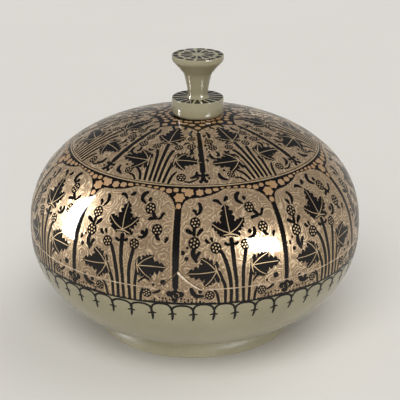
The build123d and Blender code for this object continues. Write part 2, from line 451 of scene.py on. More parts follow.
# %% [markdown]
# ## Gloss without a break
# Faces only approach a curve, and a mirror-like coat shows it. So every point that lies on the
# globe gets the normal of the rule itself, which the superellipse gives as a plain formula.
# Painted films get the same normals as the lacquer beside them, and the reflection runs across both.

# %% Exact normals for what lies on the globe
skin_depth = 0.3            # a point this close to the lacquered outline lies on it
same_way = 0.9              # cosine within which a face counts as part of the outline
globe_edge, knob_edge = math.radians(35), math.radians(40)      # sharper edges stay hard


def read(items, name, width=3):
    """One property of all the points, corners or faces of a mesh."""
    flat = np.zeros(len(items) * width)
    items.foreach_get(name, flat)
    return flat.reshape(-1, width) if width > 1 else flat.astype(int)


def globe_normals(points):
    """Unit normals of the globe at points in metres."""
    x, y, z = (points / MM).T
    radius = np.maximum(np.hypot(x, y), 1e-6)
    lift = z - seam_height
    upper = lift >= 0
    side = np.where(upper, dome_side, bowl_side)
    pole = np.where(upper, dome_crown, bowl_pole)
    reach = np.where(upper, dome_rise, bowl_depth) - paint_room
    across = side * (radius / body_radius) ** (side - 1) / body_radius
    up = np.sign(lift) * pole * (np.abs(lift) / reach) ** (pole - 1) / reach
    normals = np.stack([across * x / radius, across * y / radius, up], 1)
    return normals / np.linalg.norm(normals, axis=1, keepdims=True)


def globe_offsets(points):
    """How far points in metres stand off the lacquered globe, in millimetres, positive outside."""
    on_radius, _ = globe_point(np.interp(points[:, 2] / MM, outline_height, turns))
    tilt = np.hypot(*globe_normals(points)[:, :2].T)
    return (np.hypot(points[:, 0], points[:, 1]) / MM - on_radius) * tilt


def soften(mesh, edge_angle):
    """Shades a mesh smooth but keeps its hard edges."""
    mesh.shade_smooth()
    mesh.set_sharp_from_angle(angle=edge_angle)


def follow_globe(mesh):
    """Shades a mesh smooth and bends its outer normals to the globe's."""
    soften(mesh, globe_edge)
    corner_points = read(mesh.loops, "vertex_index", 1)
    points = read(mesh.vertices, "co")
    facing = np.repeat(read(mesh.polygons, "normal"), read(mesh.polygons, "loop_total", 1), axis=0)
    normals = read(mesh.corner_normals, "vector")
    ideal = globe_normals(points)[corner_points]
    near = np.abs(globe_offsets(points))[corner_points] < skin_depth
    outer = near & ((facing * ideal).sum(1) > same_way)
    normals[outer] = ideal[outer]
    mesh.normals_split_custom_set(normals.tolist())
    return int(outer.sum())


# %% [markdown]
# ## The two shells
# Each shell is turned from a closed section: the outside follows the globe, the inside follows it
# one wall in. The lid is notched over a pointed key that stands on the bowl's rim, so the two
# halves always meet with the painting lined up. Booleans cut the notch and add the key.

# %% Shell sections
outside_rows, inside_rows = 72, 40
rim_bevel = 0.25                        # the worn edge of each rim
lid_rebate = hoop_radius + 0.35         # the lid slides down over the hoop
rebate_top = hoop_top + 1.0
bowl_rebate = hoop_radius + 0.1         # the hoop is glued in here
bowl_floor = bowl_bottom + 5.0
step_radius, step_bottom = foot_radius - 10.3, bowl_bottom - 1.2    # this step centres the foot ring


def turn_at(height, inset=paint_room):
    """The turn at which the globe, or an inner globe, reaches a height."""
    lift = height - seam_height
    rise, power = (dome_rise, dome_crown) if lift >= 0 else (bowl_depth, bowl_pole)
    return math.copysign(math.asin((abs(lift) / (rise - inset)) ** (power / 2)), lift)


def side_points(first, last, rows, inset=paint_room):
    """Points (radius, height) along the globe, or along an inner globe, between two heights."""
    radius, height = globe_point(np.linspace(turn_at(first, inset), turn_at(last, inset), rows), inset)
    return list(zip(radius.tolist(), height.tolist()))


outer_rim = (body_radius - paint_room - rim_bevel, seam_height)
lid_section = [*side_points(seam_height + rim_bevel, collar_base, outside_rows),
               (0.0, collar_base), (0.0, backing_top),
               *side_points(backing_top, rebate_top, inside_rows, wall),
               (lid_rebate, rebate_top), (lid_rebate, seam_height), outer_rim]
bowl_section = [*side_points(seam_height - rim_bevel, bowl_bottom, outside_rows),
                (step_radius, bowl_bottom), (step_radius, step_bottom), (0.0, step_bottom), (0.0, bowl_floor),
                *side_points(bowl_floor, hoop_base, inside_rows, wall),
                (bowl_rebate, hoop_base), (bowl_rebate, seam_height), outer_rim]
print("sections of", len(lid_section), "and", len(bowl_section), "points")

# %% The key and its notch
key_azimuth = math.radians(-95.0)
key_half_width = 11.0
key_sag = 0.7               # how far each flank is hollowed
key_gap = 0.3
flank_steps = 12
key_reach = (hoop_radius - 7.0, body_radius + 5.0)      # from inside the box to well outside it


def key_outline(grow, foot):
    """Pointed outline (across, up) from below the seam, grown across its hollow flanks."""
    flank = math.hypot(key_half_width, key_height)
    half_width = key_half_width + grow * flank / key_height
    height = key_height + grow * flank / key_half_width
    share = np.linspace(0, 1, flank_steps + 1)
    hollow = 4 * key_sag / flank * share * (1 - share)
    x, z = half_width * (1 - share) - key_height * hollow, height * share - key_half_width * hollow
    return [*zip(x, z), *zip(-x[-2::-1], z[-2::-1]), (-half_width, -foot), (half_width, -foot)]


def key_prism(grow, foot):
    """The key's outline pushed outward through the wall."""
    outline = key_outline(grow, foot)
    count = len(outline)
    turned = Matrix.Rotation(key_azimuth, 4, "Z")
    corners = [turned @ Vector((out, x, seam_height + z)) * MM for out in key_reach for x, z in outline]
    faces = [list(range(count)), list(range(2 * count - 1, count - 1, -1))]
    faces += [[i, count + i, count + (i + 1) % count, (i + 1) % count] for i in range(count)]
    return outward(mesh_of("key", corners, faces))


def on_knob_axis(mesh):
    """Moves a mesh that is turned about the box's axis onto the knob's axis."""
    mesh.transform(Matrix.Translation((knob_shift * MM, 0, 0)))
    return mesh


def combine(mesh, other, operation):
    """A boolean of two closed meshes."""
    host, tool = put("host", mesh), put("tool", other)
    modifier = host.modifiers.new("cut", "BOOLEAN")
    modifier.operation, modifier.solver, modifier.object = operation, "EXACT", tool
    result = harden(host)
    bpy.data.objects.remove(tool)
    return result


print("key", 2 * key_half_width, "mm wide and", round(key_height, 1), "mm high")

# %% Give each face of a shell its finish, and name it as a piece
border_arc = -7.8           # the gold ground ends under a black line this far below the seam
under_height = 20.0         # a face below this that looks down is the bowl's underside
shell_slot = {"lid": "gilt_lacquer", "base": "cream_lacquer"}


def dress_shell(mesh):
    """Gold outside down to the border, cream below it and underneath, and black inside."""
    mesh.materials.clear()
    for paint_name in ("ground", "cream", "inside"):
        mesh.materials.append(finish[paint_name])
    centres, facing = read(mesh.polygons, "center"), read(mesh.polygons, "normal")
    outside = (np.abs(globe_offsets(centres)) < skin_depth) & ((facing * globe_normals(centres)).sum(1) > 0.5)
    gold_side = centres[:, 2] > np.interp(border_arc, outline_arc, outline_height) * MM
    under = (facing[:, 2] < -0.5) & (centres[:, 2] < under_height * MM)
    slot = np.where(outside & gold_side, 0, np.where(outside | under, 1, 2))
    mesh.polygons.foreach_set("material_index", slot.astype(np.int32))
    return np.bincount(slot, minlength=3).tolist()


def add_piece(name, mesh, body, slot_name, *replaced):
    """Puts a finished mesh in the scene as a piece that rides on a body."""
    mesh.name = name
    piece = put(name, mesh)
    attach(piece, body)
    if replaced:
        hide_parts(*replaced)
    print(name, "has", len(mesh.polygons), "faces")


# %% Build the lid and the bowl
bore_radius, bore_low, bore_high = 3.1, backing_top - 5.0, collar_base + 5.0     # the dowel's hole
hidden_step = 0.02          # the key's root lies this far inside the bowl's own skin
key_root, key_clear = seam_height - 3.0, seam_height + key_height + 3.0

lid_mesh = combine(turn_piece(lid_section, finish["ground"]), key_prism(key_gap, 5.0), "DIFFERENCE")
bore = [(0.0, bore_low), (bore_radius, bore_low), (bore_radius, bore_high), (0.0, bore_high)]
lid_mesh = combine(lid_mesh, on_knob_axis(turn_piece(bore, finish["inside"], 48)), "DIFFERENCE")

key_ring = [*side_points(key_root, seam_height - 0.01, 4, paint_room + hidden_step),
            *side_points(seam_height, key_clear, 14), (bowl_rebate, key_clear), (bowl_rebate, key_root)]
key_mesh = combine(turn_piece(key_ring, finish["ground"]), key_prism(0.0, 1.0), "INTERSECT")
bowl_mesh = combine(turn_piece(bowl_section, finish["cream"]), key_mesh, "UNION")

for name, mesh, body, node in (("gilded_lid", lid_mesh, "lid", "lid_dome"),
                               ("cream_bowl", bowl_mesh, "base", "base_bowl")):
    print("gold, cream and black faces", dress_shell(mesh), "corners on the globe", follow_globe(mesh))
    add_piece(name, mesh, body, shell_slot[body], node)

# %% [markdown]
# ## Painting
# The artist works with a fine brush: strokes that swell and taper, discs, and toothed leaves.
# The painting is drawn flat, in millimetres round the seam and up the side. Every stroke becomes
# shapes on one sheet, a triangulation sorts out what lies over what, and each paint becomes a
# film about 0.05 mm proud, wrapped on the globe. Real shapes keep the brushwork crisp.

# %% The sheet
half_round = math.pi * body_radius      # half the way round the seam
print("the seam is", round(2 * half_round, 1), "mm round")


class Sheet:
    """Flat shapes and the paint of each. The box's own sheet meets itself at the back."""

    def __init__(self, *laps):
        self.points, self.faces, self.paints, self.laps = [], [], [], (0.0, *laps)

    def lay(self, paint_name, corners):
        """Lays one shape, counter-clockwise, and again where it crosses the back."""
        corners = np.asarray(corners, float)
        x, y = corners.T
        if (x * np.roll(y, -1) - np.roll(x, -1) * y).sum() < 0:
            corners = corners[::-1]
        for lap in self.laps:
            if x.min() + lap < half_round and x.max() + lap > -half_round:
                first = len(self.points)
                self.points.extend((corners + (lap, 0.0)).tolist())
                self.faces.append(list(range(first, len(self.points))))
                self.paints.append(paint_name)


def smooth_line(points, step):
    """A Catmull-Rom line through points: the point at a distance, its length, and even stops."""
    points = np.asarray(points, float)
    if len(points) > 2:
        ends = [2 * points[0] - points[1], *points, 2 * points[-1] - points[-2]]
        points = np.array([0.5 * (2 * b + (c - a) * t + (2 * a - 5 * b + 4 * c - d) * t ** 2
                                  + (3 * b - a - 3 * c + d) * t ** 3)
                           for a, b, c, d in zip(ends, ends[1:], ends[2:], ends[3:])
                           for t in np.linspace(0, 1, 12, endpoint=False)] + [points[-1]])
    lengths = np.concatenate([[0], np.cumsum(np.hypot(*np.diff(points, axis=0).T))])
    total = lengths[-1]
    stops = np.linspace(0, total, max(2, int(math.ceil(total / step)) + 1))
    return lambda s: np.array([np.interp(s, lengths, points[:, k]) for k in (0, 1)]), total, stops


# %% The brush
rounding = (0.2, 0.65)      # a stroke's round end has points at these shares of its radius
look = 0.3                  # a stroke's direction is taken this far ahead and behind
blunt = 0.06                # and its very tip keeps the square root of this share of its width


class Brush:
    """Paints on a sheet, in a motif's own millimetres, which place maps to the sheet's."""

    def __init__(self, sheet, place=lambda x, y: (x, y)):
        self.sheet, self.place = sheet, place

    def fill(self, paint_name, corners):
        """Fills an outline."""
        self.sheet.lay(paint_name, [self.place(x, y) for x, y in corners])

    def disc(self, paint_name, x, y, radius, sides=14):
        """A round blot."""
        angles = np.arange(sides) * 2 * math.pi / sides
        self.fill(paint_name, [(x + radius * math.cos(a), y + radius * math.sin(a)) for a in angles])

    def stroke(self, paint_name, points, widths, step=1.9):
        """One stroke along a line. Its width follows a list from start to end, and its ends are round."""
        at, total, stops = smooth_line(points, step)
        ends = widths[0] / 2, widths[-1] / 2
        extra = [share * ends[0] for share in rounding] + [total - share * ends[1] for share in rounding]
        stops = np.unique(np.round([s for s in (*stops, *extra) if 0 <= s <= total], 3))
        way = at(stops + look) - at(stops - look)
        way /= np.maximum(np.hypot(*way), 1e-9)
        width = np.interp(stops / total, np.linspace(0, 1, len(widths)), widths)
        for near, end in ((stops, ends[0]), (total - stops, ends[1])):
            width *= np.sqrt(np.maximum(blunt, 1 - np.maximum(0, 1 - near / end) ** 2))
        offset = np.array([-way[1], way[0]]) * width / 2
        left, right = (at(stops) + offset).T, (at(stops) - offset).T
        for i in range(len(stops) - 1):
            self.fill(paint_name, [right[i], right[i + 1], left[i + 1], left[i]])

    def loosely(self, about, chance, shift=0.5, turn_degrees=3.0):
        """The same brush, moved and turned a little about a point, as a hand would."""
        dx, dy = chance.uniform(-shift, shift), chance.uniform(-shift, shift)
        angle = math.radians(chance.uniform(-turn_degrees, turn_degrees))
        c, s = math.cos(angle), math.sin(angle)

        def moved(x, y):
            u, v = x - about[0], y - about[1]
            return self.place(about[0] + c * u - s * v + dx, about[1] + s * u + c * v + dy)
        return Brush(self.sheet, moved)


# %% Berries and leaves
dot_share = 0.162           # a berry's dots, as a share of its radius
# Half a lobe's outline: shares of its length along the lobe and out from its middle.
lobe_edge = [(0.0, 0.09), (0.18, 0.15), (0.35, 0.15), (0.42, 0.26), (0.5, 0.3), (0.56, 0.27), (0.59, 0.17),
             (0.65, 0.24), (0.72, 0.23), (0.76, 0.12), (0.82, 0.17), (0.89, 0.13), (0.92, 0.06), (1.0, 0.02)]


def berry(brush, x, y, radius, chance):
    """A black disc with a centre dot and a ring of six dots in pale gold."""
    brush.disc("black", x, y, radius)
    spin = chance.uniform(0, math.pi)
    brush.disc("pale", x, y, dot_share * radius, 6)
    for k in range(6):
        angle, out = spin + k * math.pi / 3, chance.uniform(0.54, 0.62) * radius
        brush.disc("pale", x + out * math.cos(angle), y + out * math.sin(angle), dot_share * radius, 6)


def lobe(brush, base, tip, chance):
    """One toothed lobe of a leaf, narrow where it leaves the base and widest past its middle."""
    way = tip - base
    across = np.array([-way[1], way[0]])
    left, right = ([base + way * along + across * (out * chance.uniform(0.86, 1.12)) * side
                    for along, out in lobe_edge] for side in (1, -1))
    brush.fill("black", right + left[::-1])


def leaf(brush, base, tips, chance, vein=0.45):
    """A plane-tree leaf: five toothed lobes round its base, and three pale veins."""
    base = np.array(base, float)
    for tip in tips:
        lobe(brush, base, tip, chance)
    brush.disc("black", *(base * 0.66 + tips[2] * 0.34), 0.25 * np.hypot(*(tips[2] - base)), 12)
    for tip, bend in zip(tips[1:4], (-0.06, 0.02, 0.06)):
        end = base + (tip - base) * chance.uniform(0.9, 1.05)
        across = np.array([-(end - base)[1], (end - base)[0]])
        brush.stroke("pale", [base, (base + end) / 2 + across * bend, end], [vein, vein * 0.9, 0.3])


# %% [markdown]
# ### The bouquet
# Every panel, low or high, holds a bouquet: leaves on stems with a collar where they join,
# berries, hooked commas that fill the corners, and spots. A motif is kept as lists of given
# strokes, and each copy is moved and turned a little, so that no two panels are quite the same.

# %% Set down a bouquet
stem_halo = 1.45            # pale lines run beside a stem, this many of its half widths from its middle


def bouquet(brush, chance, leaves, stems, berries, commas, spots):
    """One panel's leaves and berries, each set down a little loosely."""
    for points, widths in stems:
        brush.stroke("black", points, widths)
        for side in (-1, 1):
            beside = [(x + side * stem_halo * widths[1] / 2, y) for x, y in points[1:]]
            brush.stroke("pale", beside, [0.25, 0.5, 0.45])
    for base, tips, collar in leaves:
        hand = brush.loosely(base, chance, 0.35, 4.0)
        tips = [np.array(tip) + [chance.uniform(-0.5, 0.5) for _ in (0, 1)] for tip in tips]
        leaf(hand, base, tips, chance)
        hand.stroke("black", collar, [1.2, 1.9, 1.2])
        hand.stroke("pale", collar, [0.35, 0.65, 0.35])
    for x, y, radius in berries:
        hand = brush.loosely((x, y), chance, 0.35)
        berry(hand, x, y, radius * chance.uniform(0.95, 1.04), chance)
    for points, widths in commas:
        brush.loosely(points[0], chance, 0.3, 8.0).stroke("black", points, widths, 1.0)
    for x, y, radius in spots:
        brush.loosely((x, y), chance, 0.4).disc("black", x, y, radius, 9)


# %% [markdown]
# ### The lower panels
# Ten arched panels stand round the globe between black bars. Each holds the same bouquet: a tall
# leaf on the middle stem, two side leaves, berries and commas. A lattice band closes the arches.

# %% What a lower panel holds, in millimetres from its centre line and the seam
lower_panels = 10
first_bar = math.radians(-96.0)
lower_pitch = 2 * half_round / lower_panels
half_panel = lower_pitch / 2
bar_head = 39.5
front_bar = lower_panels - 1        # this panel's right bar runs through the key, and it is the stoutest
band_line = 51.4            # the lattice band's upper edge
stem_foot = -7.6            # the stems end under the border line
arch = [(-25.9, 40), (-24.9, 42.7), (-23, 44.3), (-20.6, 45), (-15.6, 45.4), (-10.6, 46.3),
        (-5.6, 47.6), (-2.1, 49), (0.4, 49.9), (4.4, 49.7), (9.4, 49.4), (14.4, 48.9), (18.4, 47.8),
        (21.9, 45.8), (24.4, 43.3), (25.9, 40)]
# Cells of the band: across, up, width and height.
lattice = [(-22.3, 48.2, 5.8, 4.4), (-15.6, 48.2, 4.6, 3.6), (-10.2, 48.9, 4.4, 2.8), (-5.4, 49.7, 4, 1.9),
           (-1, 50.4, 2.7, 0.9), (3.2, 50.45, 3.2, 0.85), (7.8, 50.3, 3.2, 1), (12.4, 50.1, 3.4, 1.3),
           (16.7, 49.5, 3.4, 2), (21, 48.8, 3.9, 2.6), (28, 45.3, 6.2, 4.8), (27.9, 40.7, 2.9, 2.9),
           (25.4, 49.4, 3.4, 2.3), (30.4, 49.4, 3.6, 2.2)]
lower = {
    # A leaf's base, the tips of its lobes, and the collar where it joins its stem.
    "leaves": [
        ((-0.7, 26.6), [(5.6, 25.6), (7.6, 34.4), (-2.4, 41.2), (-10.6, 32), (-7, 26)],
         [(-4, 25.6), (0, 26.3), (4, 25.4)]),
        ((-7.9, 9), [(-8, 13.8), (-15, 16), (-22.2, 8.6), (-14.4, 1.8), (-7.4, 3.4)],
         [(-8.4, 12.2), (-7.6, 8.6), (-6.2, 4.8)]),
        ((9.6, 10.7), [(10.2, 5.4), (17.2, 4.4), (24, 11), (18, 16.6), (10.4, 15.8)],
         [(9.2, 14), (9.2, 10.5), (10, 7)])],
    # A stroke's points, and its widths from start to end.
    "stems": [
        ([(-0.4, 25), (0, 19), (0.5, 11.5), (1.4, 4), (1.9, stem_foot)], [2.4, 2.1, 1.9, 1.6, 1.4]),
        ([(-6.8, 19.6), (-5.2, 17.6), (-3.4, 13), (-1.9, 6.5), (-1.1, -1), (-1.1, stem_foot)],
         [1.6, 2, 2, 1.7, 1.4]),
        ([(6.8, 19.6), (5.7, 14), (4.9, 9), (4.8, 1.5), (5.1, stem_foot)], [1.9, 1.8, 1.6, 1.4]),
        ([(-7.4, 9.4), (-5.3, 4.4), (-4.1, 1), (-3.9, stem_foot)], [1.9, 1.6, 1.4]),
        ([(9.2, 10.2), (8.6, 6), (8, 1.5), (7.7, stem_foot)], [1.8, 1.5, 1.4]),
        ([(-9.6, -0.2), (-8, -2.6), (-7, stem_foot)], [0.9, 1.5, 1.3]),
        ([(12, -0.6), (11, -3.6), (10.6, stem_foot)], [0.9, 1.5, 1.3])],
    # Middle and radius.
    "berries": [(-8.5, 20, 2.8), (6.9, 20.9, 2.7), (-18.6, 32.5, 3), (-19.1, 23.2, 2.9),
                (12.4, 39, 3), (17.6, 28.6, 2.9), (-11.2, -3.3, 2.4), (14, -3.3, 2.4)],
    "commas": [
        ([(-13.2, 24.8), (-12.9, 23.4), (-11.2, 22.4)], [1.5, 1.8, 0.6]),
        ([(-10.4, 25.6), (-10.6, 24.4), (-9.8, 23.2)], [1.4, 1.6, 0.7]),
        ([(-3.8, 22.6), (-2.6, 21.5), (-0.4, 21.8)], [1.6, 1.6, 0.9]),
        ([(3, 22.8), (1.9, 21.7), (0, 21.9)], [1.6, 1.6, 0.9]),
        ([(-23.8, 28.8), (-22.4, 28.2), (-19.8, 26.4)], [1.8, 2.2, 0.9]),
        ([(-14.4, 29.4), (-16, 28.4), (-18, 26.2)], [1.9, 2, 0.8]),
        ([(-15.9, 18.9), (-17.2, 17.4), (-17.6, 14.6)], [1.9, 1.8, 0.8]),
        ([(-17, 42.6), (-15.6, 41.2), (-15.2, 38.6), (-17.2, 35.6)], [1.4, 2.3, 1.9, 0.6]),
        ([(-20, 38.8), (-18.4, 38.2), (-17.9, 36.2)], [1.5, 2, 0.7]),
        ([(-19.1, 20.8), (-19.9, 17.6), (-18.2, 13.2)], [1.9, 2.6, 1.1]),
        ([(-18.8, 30.2), (-19, 25.6)], [1.9, 1.5]),
        ([(14, 37), (15.2, 35.4), (17, 33.9)], [1.9, 2.1, 1.4]),
        ([(11.9, 33), (13.8, 33.9), (16.6, 33.9)], [1.7, 1.8, 1]),
        ([(20.8, 37), (19.6, 36.2), (18.6, 34.4), (16.8, 33.9)], [1.7, 1.7, 1.4, 1]),
        ([(17.6, 26.6), (18.2, 24.8), (19.8, 23.8)], [2, 1.9, 1]),
        ([(23.8, 25.2), (22.8, 24.6), (22, 22.7)], [1.6, 1.8, 0.7]),
        ([(12.4, 28.8), (12.4, 26.2), (10.6, 24.2), (8.2, 24.4)], [1.5, 2.1, 1.7, 0.8]),
        ([(8.8, 47.4), (6.5, 45.8), (6.3, 43), (9.8, 41)], [1.6, 2.8, 2.1, 0.9]),
        ([(-8.4, 43.9), (-5.8, 44), (-3, 41.8)], [1.5, 1.9, 0.9]),
        ([(1, 45.6), (0, 44.9), (-2.2, 43.3)], [2.2, 2.4, 0.7]),
        ([(9, 2), (12.4, 5.4), (15.4, 4.2)], [0.6, 1.2, 0.5]),
        ([(-20.8, 1.2), (-20, -1.6), (-18.2, -3.4), (-14.6, -3.6)], [1.6, 2.5, 2.3, 1]),
        ([(20.9, -0.6), (19.2, -2), (16.8, -3.2)], [1.2, 1.5, 0.6])],
    "spots": [(-24.7, 18.4, 1.2), (-23, 15, 1.1), (9.8, 26.8, 1.2), (10.5, 43.6, 1.25),
              (22, 3.4, 1.5), (17.2, 1.7, 0.7), (-16.2, -1.2, 1.05), (-22.5, 20.6, 0.7)]}

print("a lower panel holds", {kind: len(items) for kind, items in lower.items()})

# %% The lattice band and the small flowers under the bars


def lattice_cell(brush, x, y, width, height, chance):
    """One cell of the lattice: a rosette with six lobes where it is large, and a plain blot where small."""
    spin = chance.uniform(0, math.pi)
    deep, count = (0.13, 24) if height > 3.2 else (0.09, 18) if height > 2.2 else (0.0, 10)
    corners = []
    for k in range(count):
        angle = 2 * math.pi * k / count
        c, s = math.cos(angle), math.sin(angle)
        reach = (abs(c) ** 2.4 + abs(s) ** 2.4) ** (-1 / 2.4) * (1 + deep * math.cos(6 * angle + spin))
        reach *= chance.uniform(0.93, 1.03)
        corners.append((x + width / 2 * c * reach, y + height / 2 * s * reach))
    brush.fill("lattice", corners)


def lattice_band(brush, chance):
    """The black band over one arch, with bright cells that grow towards the bars."""
    at, _, stops = smooth_line(arch, 1.6)
    top = [(x, band_line) for x in np.linspace(half_panel, -half_panel, 30)]
    brush.fill("black", [(-half_panel, bar_head - 1), *at(stops).T, (half_panel, bar_head - 1), *top])
    for x, y, width, height in lattice:
        lattice_cell(brush, x, y, width, height, chance)


def fleur(brush, chance):
    """The small flower of blots below each bar, with pale curls in it."""
    for x, y, radius in ((-2.8, -2.8, 1.6), (2.5, -3.0, 1.6), (0.0, -3.2, 2.5), (-0.4, -5.6, 1.6)):
        brush.loosely((x, y), chance, 0.3).disc("black", x, y, radius, 10)
    brush.stroke("black", [(0.0, -0.2), (0.0, -3.0)], [2.5, 2.0])
    hand = brush.loosely((0, -3), chance, 0.3, 20)
    hand.stroke("pale", [(0.4, -1.9), (1.5, -2.9), (0.8, -4.0)], [0.2, 0.35, 0.2], 0.7)
    hand.stroke("pale", [(-1.2, -2.5), (-1.5, -3.6), (-0.8, -4.4)], [0.2, 0.3, 0.2], 0.7)


# %% Draw the lower panels
sheet = Sheet(2 * half_round, -2 * half_round)


def back_to_front(x):
    """The same place round the box, between the two ends of the sheet."""
    return (x + half_round) % (2 * half_round) - half_round


def from_line(middle):
    """A brush whose motifs stand about an upright line of the sheet."""
    return Brush(sheet, lambda x, y: (middle + x, y))


for panel in range(lower_panels):
    chance = random.Random(40 + panel)
    centre = back_to_front(body_radius * first_bar + (panel + 0.5) * lower_pitch)
    brush = from_line(centre)
    bouquet(brush, chance, **lower)
    lattice_band(brush, chance)
    girth = chance.choice((2.7, 3.0, 3.3)) if panel != front_bar else 3.7
    brush.stroke("black", [(half_panel, y) for y in (bar_head + 1, 20, -0.4)],
                 [girth, 0.94 * girth, 0.76 * girth])
    fleur(from_line(centre + half_panel), chance)
    for side in (-1, 1):
        edge = side * (half_panel - 2.3)
        brush.stroke("pale", [(edge, 39.0), (edge, 20.0), (edge + 0.1 * side, 1.0)], [0.3, 0.6, 0.4])
    brush.stroke("pale", [(x * 0.97, y - 0.95) for x, y in arch], [0.25, 0.3])
    # Two rows of dots fill the ground on each side of the stems.
    for low in (-6.7, -5.2):
        for x in [*np.arange(-25.3, -12.5, 1.9), *np.arange(16.0, 26.0, 1.9)]:
            brush.disc("black", x + chance.uniform(-0.5, 0.5), low + chance.uniform(-0.4, 0.3),
                       chance.uniform(0.35, 0.7), 6)
print("lower panels drawn,", len(sheet.faces), "shapes so far")

# %% [markdown]
# ### The crown
# Seven panels run up from the lattice band to the knob, divided by seven bars. They are drawn as
# a fan, with distances from the pole, so a motif near the knob keeps its size.

# %% What a crown panel holds, in millimetres across and down from the pole
crown_bars = [-134.2, -86.2, -35.5, 16.8, 69.1, 121.4, 173.7]       # degrees round the box, not quite even
crown_stem_foot = -67.2     # under the lattice band
crown = {
    "leaves": [
        ((0.5, -38.2), [(5.2, -39.4), (7.6, -31.4), (0.4, -23.2), (-7.2, -32.2), (-4.6, -39.4)],
         [(-3, -39.4), (0.5, -38.8), (3.8, -39.8)]),
        ((-5, -54), [(-4.8, -48.6), (-10.4, -46), (-19.6, -51.4), (-12.6, -60), (-5, -59.4)],
         [(-5.2, -50.4), (-4.8, -54), (-4.2, -57.8)]),
        ((8.5, -51.5), [(8.2, -57), (15.8, -57.2), (21, -48.6), (12.2, -44.2), (7.8, -46.4)],
         [(7.9, -47.8), (8.2, -51.6), (8.8, -55.4)])],
    "stems": [
        ([(0.6, -39.6), (1.1, -46), (1.8, -56), (2.6, crown_stem_foot)], [1.9, 1.6, 1.4]),
        ([(-3.4, -45), (-1.8, -50), (-0.6, -58), (0.1, crown_stem_foot)], [1.7, 1.5, 1.4]),
        ([(5, -44), (4.4, -50), (4.6, -58), (5, crown_stem_foot)], [1.7, 1.5, 1.4]),
        ([(-4.6, -54.6), (-3.6, -59), (-2.5, crown_stem_foot)], [1.7, 1.5, 1.4]),
        ([(8.4, -52.4), (7.6, -58), (7.5, crown_stem_foot)], [1.7, 1.5, 1.4]),
        ([(-9.6, -58.8), (-6.6, -62.4), (-5, crown_stem_foot)], [1, 1.5, 1.4]),
        ([(12, -58.6), (10.6, -62), (10.2, crown_stem_foot)], [1, 1.5, 1.4]),
        ([(-12.4, -63.4), (-9.6, -64.6), (-7.6, crown_stem_foot)], [0.9, 1.4, 1.3])],
    "berries": [(-4.6, -42.6, 2.2), (6.4, -41.4, 2.2), (-12.6, -40.8, 2.3), (-11.2, -34.8, 2.2),
                (12.2, -39, 2.3), (9.9, -32.6, 2.1), (-13, -61.2, 2.1), (15.2, -61.6, 2.4)],
    "commas": [
        ([(21.2, -55.4), (22, -58.4), (19.6, -61)], [1.1, 2.1, 0.8]),
        ([(-18.9, -57.8), (-19.3, -61), (-16.4, -63.8)], [1.1, 2.2, 0.9]),
        ([(-16, -44.2), (-16.8, -47.6), (-14.6, -50)], [1.1, 2, 0.7]),
        ([(-13.8, -47.4), (-12.2, -46), (-12.6, -43.4)], [1.6, 1.6, 1]),
        ([(12.9, -41.6), (14.6, -43.6), (14.2, -46.4)], [1.6, 1.7, 0.8]),
        ([(-9.6, -32.4), (-8.6, -29.6), (-8.8, -26)], [1, 1.9, 0.7]),
        ([(8.9, -30.2), (7.4, -27.6), (7.6, -24.4)], [1, 1.9, 0.7]),
        ([(-2, -24.6), (-3.2, -22.4), (-2.6, -20.2)], [1, 1.8, 0.6]),
        ([(3.4, -24.4), (3.8, -22.2), (2.4, -20.2)], [1, 1.8, 0.6]),
        ([(-12.2, -37.9), (-11.6, -36.8)], [1.4, 1.3]),
        ([(17.2, -41), (16.6, -38.6), (14.2, -38.4)], [1.5, 1.6, 0.8]),
        ([(-8.4, -44.6), (-7.6, -46.2), (-5.6, -45.6)], [1.4, 1.6, 0.8]),
        ([(10.4, -36.2), (8.8, -36.6), (8.2, -38.6)], [1.3, 1.5, 0.6]),
        ([(17.4, -63.6), (20.4, -62.8), (23.2, -59.4)], [0.8, 1.1, 0.5])],
    "spots": [(-15.2, -37, 1), (15, -34.8, 1), (-8, -49, 0.8), (18.4, -44.4, 1),
              (-19.6, -47.4, 0.9), (11.6, -28, 0.9), (-11.2, -28.8, 0.9), (-15.6, -57.6, 0.8)]}
crown_foot, crown_head, crown_arch = 59.5, 93.5, 99.9       # a bar's ends and an arch's top, from the seam
ring_top = crown_arc - collar_radius + 2.6      # the painting runs in under the collar
# Cells of the ring under the collar: degrees from a bar, millimetres from the pole, width and height.
crown_cells = [(0, 22.2, 3.2, 3), (-8.5, 18.4, 3.3, 2.7), (8, 18.6, 3, 2.7), (-20, 17.4, 3, 2.1),
               (19, 17.3, 3.3, 2.2), (0.5, 14.8, 3, 2.5), (-13.5, 14.3, 2.7, 2.1), (12.5, 14.5, 2.8, 2.3),
               (25.7, 14.2, 2.6, 2.1)]
# Blots of the flower at a bar's foot: across, up and radius.
crown_blots = [(0, -1.2, 1.5), (-2.1, -0.8, 1), (2.1, -0.8, 1), (0, -3.2, 1.4),
               (-1.5, -4.7, 1.1), (1.6, -4.6, 1.1), (-2.9, -2.8, 0.7), (2.8, -2.8, 0.7)]
print("a crown panel holds", {kind: len(items) for kind, items in crown.items()})

# %% Draw the crown panels


def fan(middle):
    """A brush for a fan: it maps millimetres across and up from the pole to the sheet."""
    return Brush(sheet, lambda x, y: (body_radius * (middle + math.atan2(x, -y)),
                                      crown_arc - math.hypot(x, y)))


